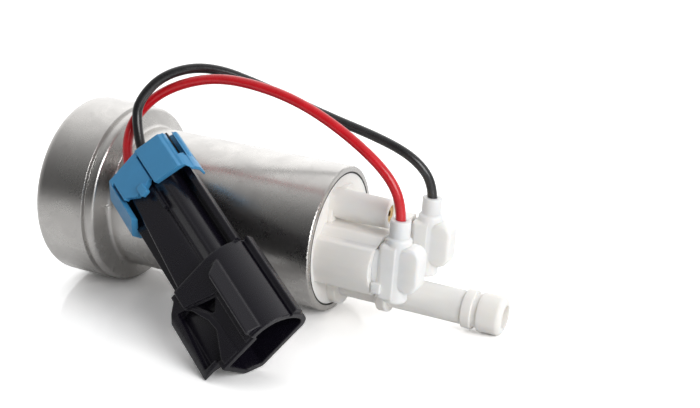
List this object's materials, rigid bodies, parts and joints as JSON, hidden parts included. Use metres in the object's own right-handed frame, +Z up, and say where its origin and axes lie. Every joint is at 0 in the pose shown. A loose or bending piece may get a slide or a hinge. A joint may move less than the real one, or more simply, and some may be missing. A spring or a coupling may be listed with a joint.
{
  "type": "in-tank fuel pump",
  "caption": "Cylindrical in-tank turbine fuel pump with a wide inlet collar, white outlet end with a barbed tube, and wire leads to a black lockable connector.",
  "frame": {"origin": "under the middle of the pump's length and width, on the surface it lies on", "axes": "+X along the pump from inlet to outlet, +Z up, +Y away from the connector's side"},
  "size_m": [0.1314, 0.0802, 0.0649],
  "materials": {
    "plated_steel": "satin zinc plating",
    "white_nylon": "moulded, satin",
    "white_cover": "moulded, satin",
    "black_nylon": "moulded, satin",
    "blue_nylon": "moulded, satin",
    "red_insulation": "semi-gloss",
    "black_insulation": "semi-gloss",
    "cast_aluminium": "die cast",
    "phenolic": "machined",
    "carbon": "matte",
    "ground_steel": "ground",
    "lamination_steel": "varnished",
    "copper": "enamelled wire",
    "ferrite": "sintered",
    "spring_steel": "drawn wire",
    "tinned_brass": "tin plated",
    "brass": "turned",
    "seal_rubber": "moulded",
    "blue_rubber": "moulded"
  },
  "bodies": {
    "pump": {"pump_can": "plated_steel", "inlet_cover": "cast_aluminium", "thrust_button": "ground_steel", "impeller_ring": "cast_aluminium", "pressure_plate": "cast_aluminium", "plate_o_ring": "seal_rubber", "lower_bearing": "carbon", "upper_bearing": "carbon", "flux_ring": "lamination_steel", "front_magnet": "ferrite", "rear_magnet": "ferrite", "magnet_clips": "spring_steel", "outlet_cover": "white_nylon", "cover_o_ring": "seal_rubber", "front_brush_spring": "spring_steel", "rear_brush_spring": "spring_steel", "front_terminal": "tinned_brass", "rear_terminal": "tinned_brass", "check_spring": "spring_steel", "check_cage": "brass", "relief_spring": "spring_steel", "relief_cap": "brass", "red_plug": "white_cover", "black_plug": "white_cover", "red_contact": "tinned_brass", "black_contact": "tinned_brass", "connector_housing": "black_nylon", "wire_seals": "blue_rubber", "connector_blades": "tinned_brass", "connector_lock": "blue_nylon", "red_wire": "red_insulation", "black_wire": "black_insulation"},
    "rotor": {"shaft": "ground_steel", "armature_core": "lamination_steel", "windings": "copper", "commutator": "carbon", "impeller": "phenolic"},
    "front_brush": {"front_brush": "carbon"},
    "rear_brush": {"rear_brush": "carbon"},
    "check_valve": {"check_poppet": "brass"},
    "relief_valve": {"relief_ball": "ground_steel"}
  },
  "joints": [
    {"name": "rotor_spin", "type": "hinge", "parent": "pump", "child": "rotor", "pos_m": [-0.01738, 0, 0.02258], "axis": [0.9967, 0, -0.0817], "continuous": true},
    {"name": "front_brush_slide", "type": "slide", "parent": "pump", "child": "front_brush", "axis": [0.9967, 0, -0.0817], "range_m": [0, 0.002], "stiffness_N_per_m": 100, "springref_m": -0.008, "deforming": ["front_brush_spring"]},
    {"name": "rear_brush_slide", "type": "slide", "parent": "pump", "child": "rear_brush", "axis": [0.9967, 0, -0.0817], "range_m": [0, 0.002], "stiffness_N_per_m": 100, "springref_m": -0.008, "deforming": ["rear_brush_spring"]},
    {"name": "check_valve_slide", "type": "slide", "parent": "pump", "child": "check_valve", "axis": [0.9967, 0, -0.0817], "range_m": [0, 0.0025], "stiffness_N_per_m": 150, "springref_m": -0.003, "deforming": ["check_spring"]},
    {"name": "relief_valve_slide", "type": "slide", "parent": "pump", "child": "relief_valve", "axis": [0.9967, 0, -0.0817], "range_m": [0, 0.0018], "stiffness_N_per_m": 200, "springref_m": -0.003, "deforming": ["relief_spring"]}
  ]
}
